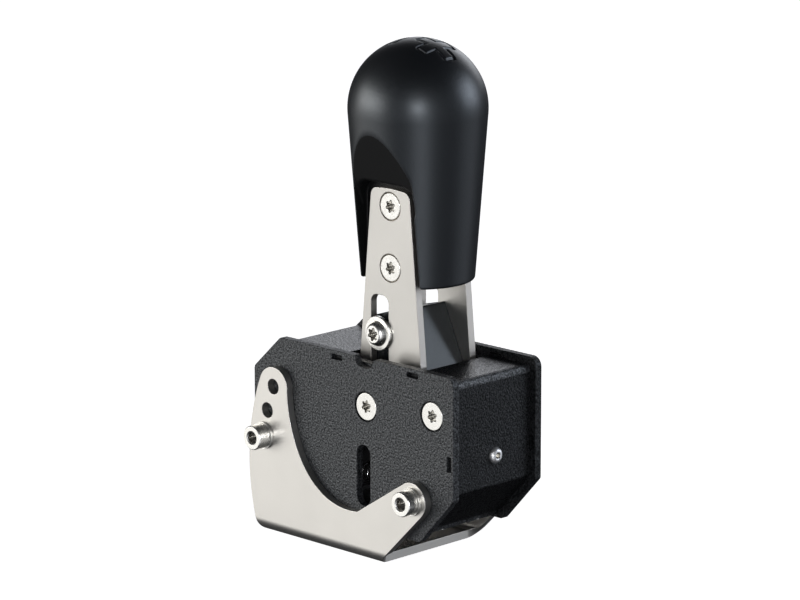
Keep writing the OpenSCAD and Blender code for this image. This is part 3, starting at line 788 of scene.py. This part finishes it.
def right_cover():
    d = math.hypot(16, 17.5)
    ux, uz = 16 / d, 17.5 / d
    sx, sz = 64.4 - 2.5 * uz, 28.6 + 2.5 * ux
    kx, kz = 61.9, sz - (sx - 61.9) * uz / ux
    ex, ez = sx - (sz - 14.6) * ux / uz, 14.6
    t = 1.5
    roll = [(60.45 + 1.45 * math.cos(math.radians(q)), 66.8 + 2.6 * math.sin(math.radians(q)), 0)
            for q in range(90, -1, -10)]
    out = rounded([(60.4, 69.4, 0), *roll, (kx, kz, 2.4), (ex, ez, 0.2),
                   (ex - t * uz, ez + t * ux, 0.2), (60.4, kz + t * math.tan(math.radians(21.2)), 0.9)], 8)
    s = plate(out, [], -CW, CW, 0.2, 2).put(XZ)
    for i, q in enumerate(s.f):
        x, _, z = s.v[list(q)].mean(axis=0)
        # the rolled top edge takes the lighter coat as a painted highlight
        if z > 66.9 and x > 60.42:
            s.m[i] = 2
        # faces that look down take the dark tab coat as painted shade
        elif s.n[list(q)].mean(axis=0)[2] < -0.4:
            s.m[i] = 1
    return s + tabs(61.45, 62.85, 39.15, 43.85)


make("cover_top", top_cover(), [M_TOP, M_TAB_AND_SHADE], "housing", "top_cover")
make("cover_right", right_cover(), [M_COVER_SHADE, M_TAB_AND_SHADE, M_ROLL_HIGHLIGHT], "housing", "right_end_cover")
for node_, mat_ in (("left_end_cover", M_COVER_SHADE), ("bottom_cover", M_COVER_SHADE)):
    soften(node_, mat_, 0.2)

# ------------------------------------------------------------------ screws
def cap_head(length, h=5.0):
    """M5 socket cap screw, its head's top at w = 0."""
    s = turned([(3.3, 0), (4.08, 0, 0.12), (4.35, -0.3, 0.18), (4.35, 0.15 - h, 0.1), (4.2, -h, 0.05), (2.6, -h, 0.1),
                (2.5, -h - 0.3, 0.1), (2.5, -h - length + 0.5, 0.1), (2.1, -h - length, 0.05), (0, -h - length)], 72)
    return s + recess(3.3, 0, hexagon(4.0), 2.6, (2.6, 0.4))


def washer():
    """M5 washer, its outer face at w = 0."""
    return turned([(2.66, 0), (4.97, 0, 0.1), (4.99, -0.98, 0.08), (2.66, -0.99, 0.05), (2.66, 0)], 72)


def csk_head(length, r, rim, rec=2.3, d=2.5):
    """Countersunk screw, its head's top at w = 0."""
    k = r - d
    s = turned([(r - 0.9, 0), (r - 0.1, 0, 0.12), (r, -0.12, 0.08), (r, -rim, 0.04), (d, -rim - k, 0.2),
                (d, -length + 0.4, 0.1), (d - 0.4, -length, 0.05), (0, -length)], 72)
    return s + recess(r - 0.9, 0, star(rec), 1.8)


def button_head(length, d=1.5):
    s = lathe([(1.6, 0.0), (1.78, -0.02), (2.1, -0.17), (2.4, -0.45), (2.63, -0.8), (2.78, -1.2), (2.84, -1.5),
               (2.8, -1.62), (2.7, -1.65), (d, -1.65), (d, -1.65 - length), (0, -1.65 - length)], 72)
    return s + recess(1.6, 0, hexagon(2.0, 10), 1.0, (1.3, 0.15))


def clamp_head():
    """Flanged screw of the lever clamp, its flange's underside at w = 0."""
    s = turned([(2.62, 3.45), (2.95, 3.45, 0.1), (3.3, 3.22, 0.2), (3.72, 2.8, 0.3), (4.1, 2.2, 0.3),
                (4.35, 1.6, 0.3), (4.5, 1.22, 0.06), (5.85, 1.2, 0.12), (6.1, 0.95, 0.14), (6.1, 0.15, 0.12),
                (5.8, 0.0, 0.08), (2.5, 0.0, 0.1), (2.5, -9.0, 0.1), (0, -9.0)], 72)
    return s + recess(2.62, 3.45, star(2.42), 2.2)


front = lambda x, z, y: at(x, -y, z, (0, -1, 0))
c3 = on_arc(0)
make("angle_cap_screws", cap_head(12).put(front(c3[0], c3[1], WO + 6)).both(), [M_CAP, M_RECESS_SHADE, M_SOCKET_FLOOR_SHADE], "base",
     "angle_screws")
make("angle_flat_washers", washer().put(front(c3[0], c3[1], WO + 1)).both(), M_WASHER, "base",
     "angle_washers")
make("pivot_cap_bolts", cap_head(11, 4.4).put(front(TILT[0], TILT[1], WO + 5.42)).both(), [M_CAP, M_RECESS_SHADE, M_SOCKET_FLOOR_SHADE], "housing",
     "pivot_bolts")
make("pivot_flat_washers", washer().put(front(TILT[0], TILT[1], WO + 1.02)).both(), M_WASHER, "housing",
     "pivot_washers")
s_ = Shape()
for c in (PIV, POST):
    s_ = s_ + csk_head(14, 4.85, 0.4).put(front(c[0], c[1], PL_O - 0.25)).both()
make("plate_csk_screws", s_, [M_SCREW, M_RECESS_SHADE, M_SOCKET_FLOOR_SHADE], "housing", "plate_screws")
s_ = Shape()
for z in KNOB_SCREWS:
    s_ = s_ + csk_head(12, 4.6, 0.9).put(front(ARM_X, z, ARM_O - 0.1)).both()
make("knob_csk_screws", s_, [M_SCREW, M_RECESS_SHADE, M_SOCKET_FLOOR_SHADE], "grip", "knob_screws")
make("clamp_flange_screws", clamp_head().put(front(SLOT_X, CLAMP_Z, ARM_O + 0.02)).both(), [M_CAP, M_RECESS_SHADE, M_SOCKET_FLOOR_SHADE], "lever",
     "clamp_screws")
s_ = button_head(8).put(at(61.9 + 1.65, END_Y, 40.4, (1, 0, 0)))
s_ = s_ + button_head(8).put(at(-33.4 - 1.65, 0, 40.4, (-1, 0, 0)))
make("cover_button_screws", s_, [M_ZINC, M_RECESS_SHADE, M_SOCKET_FLOOR_SHADE], "housing", "cover_screws")

# ------------------------------------------------------------------ arms
def arm():
    hw = lambda z: 9.6 + (128 - z) * 0.09
    zt = 131.1
    out = rounded([
        (ARM_X - hw(65.5), 65.5, 4.8), (SLOT_X - SLOT_W / 2, 65.5, 0.6),
        (SLOT_X - SLOT_W / 2, SLOT_TOP, 3), (SLOT_X + SLOT_W / 2, SLOT_TOP, 3),
        (SLOT_X + SLOT_W / 2, 65.5, 1.4), (ARM_X + hw(65.5), 65.5, 4.5),
        (ARM_X + hw(zt) - 0.1, zt - 0.75, 3), (ARM_X, zt, 40), (ARM_X - hw(zt) + 0.1, zt - 0.75, 3)], 14)
    holes = [(circle((ARM_X, z), 2.75, 72), seat_profile(ARM_I, ARM_O, 2.35, 0.55)) for z in KNOB_SCREWS]
    return plate(out, holes, ARM_I, ARM_O, 0.2, 3).put(XZ).edges_as(1)


make("arm_front", arm(), [M_ARM, M_EDGE], "grip", "front_arm")
make("arm_rear", arm().mirror_y(), [M_ARM, M_EDGE], "grip", "rear_arm")

# ------------------------------------------------------------------ knob
def smax(a, b, k):
    h = np.clip(0.5 - 0.5 * (b - a) / k, 0, 1)
    return b * (1 - h) + a * h + k * h * (1 - h)


def smin(a, b, k):
    return -smax(-a, -b, k)


KR, KC, K0, KZ0 = 24.3, 157.4, 19.8, 97.5


def knob_outer(p):
    """The knob before its pockets are cut."""
    x, y, z = p[..., 0] - ARM_X, p[..., 1], p[..., 2]
    r = np.sqrt(x * x + y * y) + 1e-9
    # side line from (K0, KZ0) that touches the ball
    dx, dz = K0, KZ0 - KC
    dist = math.hypot(dx, dz)
    ta = math.pi - math.atan2(-dz, dx) - math.asin(KR / dist)
    nx, nz = math.sin(ta), -math.cos(ta)
    line = (r - K0) * nx + (z - KZ0) * nz
    ball = np.sqrt(r * r + (z - KC) ** 2) - KR
    along = (z - KC) * nx - r * nz          # above zero past the touching point
    body = np.where(along > 0, ball, line)
    return smax(body, KZ0 - z, 1.1), ball


def knob_sdf(p):
    x, y, z = p[..., 0] - ARM_X, p[..., 1], p[..., 2]
    body, ball = knob_outer(p)
    ay = np.abs(y)
    # pockets for the arms
    qx, qz = np.abs(x) - 8.1, z - 127.0
    d2 = np.minimum(np.maximum(qx, qz), 0) + np.sqrt(np.maximum(qx, 0) ** 2 + np.maximum(qz, 0) ** 2) - 6.0
    pocket = smax(d2, 10.7 - ay, 0.5)
    # scoops above them
    f = (23.7 - (151 - z) * 0.384 - ay) * 0.9336
    scoop = smax(smax(f, np.abs(x) - 14.1, 0.6), 124 - z, 0.5)
    scoop = smax(scoop, z - 154.5, 0.5)
    body = smax(body, -smin(pocket, scoop, 1.2), 0.5)
    # holes for the inserts
    for hz in KNOB_SCREWS:
        hole = np.maximum(np.sqrt(x * x + (z - hz) ** 2) - 3.52, 3.5 - ay)
        body = np.maximum(body, -hole)
    # the outlines of a plain plus and minus, cut into the crown
    def bar(a, b, la, lb):
        qa, qb = np.abs(a) - la + 0.8, np.abs(b) - lb + 0.8
        return np.minimum(np.maximum(qa, qb), 0) + np.sqrt(np.maximum(qa, 0) ** 2 + np.maximum(qb, 0) ** 2) - 0.8
    mark = np.minimum(bar(x - 8.4, y, 7.0, 2.3), bar(x - 8.4, y, 2.3, 7.0))
    mark = np.minimum(mark, bar(x + 6.6, y, 2.3, 7.0))
    mark = smax(np.abs(mark) - 0.45, -ball - 0.6, 0.2)
    body = np.where(z > 160, smax(body, -mark, 0.45), body)
    return body


def net(sdf, lo, hi, h):
    """Surface nets on a grid of step h, then each point is moved onto the surface."""
    ax = [np.arange(a, b + h, h) for a, b in zip(lo, hi)]
    g = np.stack(np.meshgrid(*ax, indexing="ij"), -1)
    val = sdf(g)
    ins = val < 0
    nx, ny, nz = (len(a) - 1 for a in ax)
    acc = np.zeros((nx, ny, nz, 3))
    cnt = np.zeros((nx, ny, nz))
    for d in range(3):
        a = [slice(None)] * 3
        b = [slice(None)] * 3
        a[d], b[d] = slice(0, -1), slice(1, None)
        a, b = tuple(a), tuple(b)
        cross = ins[a] != ins[b]
        va, vb = val[a], val[b]
        with np.errstate(divide="ignore", invalid="ignore"):
            t = np.where(cross, va / (va - vb), 0.0)
        pt = g[a] + (g[b] - g[a]) * t[..., None]
        e1, e2 = [i for i in range(3) if i != d]
        for o1 in (0, 1):
            for o2 in (0, 1):
                # the edge at grid index (i1, i2) belongs to cells i1 - o1, i2 - o2
                src, dst = [slice(None)] * 3, [slice(None)] * 3
                for e, o in ((e1, o1), (e2, o2)):
                    src[e] = slice(1, None) if o else slice(0, -1)
                    dst[e] = slice(None)
                src, dst = tuple(src), tuple(dst)
                c = cross[src]
                acc[dst] += np.where(c[..., None], pt[src], 0.0)
                cnt[dst] += c
    used = cnt > 0
    idx = -np.ones(used.shape, int)
    idx[used] = np.arange(int(used.sum()))
    p = acc[used] / cnt[used][:, None]
    faces = []
    for d in range(3):
        a = [slice(1, -1)] * 3
        b = [slice(1, -1)] * 3
        a[d], b[d] = slice(0, -1), slice(1, None)
        ia, ib = ins[tuple(a)], ins[tuple(b)]
        where = np.argwhere(ia != ib)
        if not len(where):
            continue
        sgn = ia[tuple(where.T)]
        cell = where.copy()
        e1, e2 = (d + 1) % 3, (d + 2) % 3
        for e in (e1, e2):
            cell[:, e] += 1
        q = []
        for o1, o2 in ((0, 0), (1, 0), (1, 1), (0, 1)):
            c = cell.copy()
            c[:, e1] -= 1 - o1
            c[:, e2] -= 1 - o2
            q.append(idx[tuple(c.T)])
        q = np.stack(q, 1)
        q[~sgn] = q[~sgn][:, ::-1]
        faces += [tuple(r) for r in q if (r >= 0).all()]
    e = 0.02

    def grad(p):
        out = np.zeros_like(p)
        for i in range(3):
            dp = np.zeros(3)
            dp[i] = e
            out[:, i] = (sdf(p + dp) - sdf(p - dp)) / (2 * e)
        return out

    for _ in range(4):
        gr = grad(p)
        l2 = np.maximum(np.sum(gr * gr, 1), 0.2)
        step = -(sdf(p) / l2)[:, None] * gr
        ln = np.linalg.norm(step, axis=1, keepdims=True)
        p = p + step * np.minimum(1, 0.5 * h / np.maximum(ln, 1e-9))
    gr = grad(p)
    gr /= np.maximum(np.linalg.norm(gr, axis=1, keepdims=True), 1e-9)
    return Shape(p, gr, faces)


step = 0.33
knob_ = net(knob_sdf, (1.0, -25.2, 96.6), (51.0, 25.2, 182.4), step)
mid = np.array([knob_.v[list(q)].mean(0) for q in knob_.f])
# faces sunk into the pockets and scoops take the darker plastic as painted shade
knob_.m = list(((knob_outer(mid)[0] < -0.3) & (mid[:, 2] < 158)).astype(int))
make("knob", knob_, [M_KNOB, M_POCKET_SHADE], "grip",
     "shift_knob", weld=False)

# ------------------------------------------------------------------ lever core
soften("lever_core", M_CORE, 0.35, 3)

# ------------------------------------------------------------------ springs
def coil(name, x0, x1, node, turns=5.6):
    cu = bpy.data.curves.new(name, "CURVE")
    cu.dimensions = "3D"
    cu.bevel_depth = 0.45 * MM
    cu.bevel_resolution = 3
    cu.use_fill_caps = True
    sp = cu.splines.new("POLY")
    n = int(26 * turns)
    sp.points.add(n)
    w = 0.47
    for i in range(n + 1):
        t = i / n * turns
        # the end turns lie flat against each other
        s = t / turns
        e = 0.6 / turns
        s = s ** 2 / (2 * e) if s < e else (1 - (1 - s) ** 2 / (2 * e) - e + 0 if s > 1 - e else s - e / 2)
        s = min(max(s / (1 - e), 0), 1)
        x = x0 + w + (x1 - x0 - 2 * w) * s
        ph = 2 * math.pi * t
        sp.points[i].co = (x * MM, 3.25 * math.cos(ph) * MM, (ROD_Z + 3.25 * math.sin(ph)) * MM, 1)
    tmp = bpy.data.objects.new(name + "_curve", cu)
    scene.collection.objects.link(tmp)
    dg = bpy.context.evaluated_depsgraph_get()
    me = bpy.data.meshes.new_from_object(tmp.evaluated_get(dg))
    bpy.data.objects.remove(tmp)
    me.name = name
    me.materials.clear()
    me.materials.append(M_SPRING)
    me.polygons.foreach_set("use_smooth", [True] * len(me.polygons))
    o = bpy.data.objects.new(name, me)
    scene.collection.objects.link(o)
    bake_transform(o)
    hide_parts(node)
    return o


coil("spring_left", 0.5, 14.5, "left_spring")
coil("spring_right", 29.9, 43.9, "right_spring")

# ------------------------------------------------------------------ inner pieces
for node_, mat_, wid in (("angle_nuts", M_NUT, 0.2), ("pivot_nuts", M_NUT, 0.2), ("pivot_shaft", M_SHAFT, 0.2),
                         ("spacer_sleeves", M_INNER, 0.15), ("spacer_post", M_SHAFT, 0.2),
                         ("cover_standoffs", M_BRASS, 0.15), ("spring_carrier", M_INNER, 0.3),
                         ("carrier_screws", M_SCREW, 0.05), ("guide_rod", M_SHAFT, 0.2),
                         ("bump_rubbers", M_RUBBER, 0.2), ("sensor_board", M_BOARD, 0.1),
                         ("board_parts", M_CHIP, 0.12), ("board_screws", M_SCREW, 0.05),
                         ("sensor_lead", M_RUBBER, 0), ("data_socket", M_NUT, 0.1),
                         ("shuttle", M_INNER, 0.3), ("shuttle_pins", M_SHAFT, 0.2),
                         ("pivot_bushings", M_BRONZE, 0.2), ("slot_rings", M_INNER, 0.15),
                         ("sensor_magnet", M_MAGNET, 0.15), ("knob_inserts", M_BRASS, 0.15)):
    if wid > 0:
        soften(node_, mat_, wid)
    else:
        o_ = frame["nodes"][node_]
        o_.data.materials.clear()
        o_.data.materials.append(mat_)

# ------------------------------------------------------------------ stage and light
def floor():
    me = bpy.data.meshes.new("floor")
    bm = bmesh.new()
    bmesh.ops.create_circle(bm, cap_ends=True, segments=96, radius=6.0)
    bm.to_mesh(me)
    bm.free()
    o = bpy.data.objects.new("floor", me)
    scene.collection.objects.link(o)
    m = Mat("floor_white")
    m.set(Base__Color=(0.5, 0.5, 0.5, 1), Roughness=0.9, Specular__IOR__Level=0.0)
    m.set(Emission__Color=(1, 1, 1, 1), Emission__Strength=0.94)
    o.data.materials.append(m.m)
    o.visible_glossy = False
    o.visible_diffuse = False
    o.visible_shadow = False
    o.visible_transmission = False
    o.location.z = -0.0001
    return o


floor()


def softbox(name, direction, dist, w, h, power, color=(1, 1, 1), target=(0.02, 0, 0.09), spread=180):
    d = Vector(direction).normalized()
    la = bpy.data.lights.new(name, "AREA")
    la.shape, la.size, la.size_y = "RECTANGLE", w, h
    la.energy, la.color = power, color
    la.spread = math.radians(spread)
    o = bpy.data.objects.new(name, la)
    scene.collection.objects.link(o)
    o.location = Vector(target) + d * dist
    o.rotation_mode = "QUATERNION"
    o.rotation_quaternion = (-d).to_track_quat("-Z", "Y")
    o.visible_camera = False
    return o


softbox("key_glint", (0.64, -0.66, 0.30), 1.2, 0.16, 0.16, 0.35)

# The studio round the object: soft boxes given by their direction and half size in degrees.
world = bpy.data.worlds.new("studio")
scene.world = world
world.use_nodes = True
nt = world.node_tree
nt.nodes.clear()


def wnode(kind, op=None, *ins):
    n = nt.nodes.new(kind)
    if op:
        n.operation = op
    for i, v in enumerate(ins):
        if isinstance(v, bpy.types.NodeSocket):
            nt.links.new(v, n.inputs[i])
        elif v is not None:
            n.inputs[i].default_value = v
    return n.outputs["Value"] if kind == "ShaderNodeVectorMath" and op == "DOT_PRODUCT" else n.outputs[0]


look = nt.nodes.new("ShaderNodeTexCoord").outputs["Generated"]


def lobe(az, el, ha, he, level, tint=(1, 1, 1), p=4.0):
    a, e = math.radians(az), math.radians(el)
    c = (math.cos(a) * math.cos(e), math.sin(a) * math.cos(e), math.sin(e))
    u = (-math.sin(a), math.cos(a), 0.0)
    w = (-math.cos(a) * math.sin(e), -math.sin(a) * math.sin(e), math.cos(e))
    dc, du, dw = (wnode("ShaderNodeVectorMath", "DOT_PRODUCT", look, q) for q in (c, u, w))
    ang = wnode("ShaderNodeMath", "ABSOLUTE", wnode("ShaderNodeMath", "ARCTAN2", du, dc))
    ele = wnode("ShaderNodeMath", "ABSOLUTE", wnode("ShaderNodeMath", "ARCSINE", dw))
    s1 = wnode("ShaderNodeMath", "POWER", wnode("ShaderNodeMath", "DIVIDE", ang, math.radians(ha)), p)
    s2 = wnode("ShaderNodeMath", "POWER", wnode("ShaderNodeMath", "DIVIDE", ele, math.radians(he)), p)
    sm = wnode("ShaderNodeMath", "MULTIPLY", wnode("ShaderNodeMath", "ADD", s1, s2), -0.693)
    f = wnode("ShaderNodeMath", "EXPONENT", sm)
    v = nt.nodes.new("ShaderNodeVectorMath")
    v.operation = "SCALE"
    v.inputs[0].default_value = [level * t for t in tint]
    nt.links.new(f, v.inputs["Scale"])
    return v.outputs[0]


LOBES = [
    (228, 8, 24, 10, 6.0, (1.0, 0.985, 0.955)),       # left box
    (226, -17, 32, 10, 1.1, (1.0, 0.99, 0.965)),      # its foot
    (55, 15, 15, 12, 5.0, (0.90, 0.96, 1.06)),        # right box
    (52, -12, 20, 12, 0.55, (0.93, 0.97, 1.04)),      # its foot
    (321, -12, 11, 28, 1.45, (0.97, 0.99, 1.03)),     # strip beside the camera
    (314.5, 8.5, 4.5, 4.5, 27, (0.98, 0.99, 1.02)),   # small lamp over the camera
    (118, 15, 20, 11, 2.5, (0.96, 0.98, 1.03)),       # backdrop
    (300, 0, 80, 30, 0.28, (0.95, 0.98, 1.05)),       # room
]
total = None
for q in LOBES:
    o_ = lobe(*q)
    total = o_ if total is None else wnode("ShaderNodeVectorMath", "ADD", total, o_)
base = nt.nodes.new("ShaderNodeVectorMath")
base.operation = "ADD"
nt.links.new(total, base.inputs[0])
base.inputs[1].default_value = (0.030, 0.031, 0.034)
wo = nt.nodes.new("ShaderNodeOutputWorld")
mix = nt.nodes.new("ShaderNodeMixShader")
lp = nt.nodes.new("ShaderNodeLightPath")
bg1, bg2 = nt.nodes.new("ShaderNodeBackground"), nt.nodes.new("ShaderNodeBackground")
nt.links.new(base.outputs[0], bg1.inputs["Color"])
bg2.inputs["Color"].default_value = (1, 1, 1, 1)
nt.links.new(lp.outputs["Is Camera Ray"], mix.inputs[0])
nt.links.new(bg1.outputs[0], mix.inputs[1])
nt.links.new(bg2.outputs[0], mix.inputs[2])
nt.links.new(mix.outputs[0], wo.inputs[0])

scene.view_settings.view_transform = "Standard"
scene.view_settings.look = "None"
scene.view_settings.exposure = 0.0
scene.view_settings.gamma = 1.0
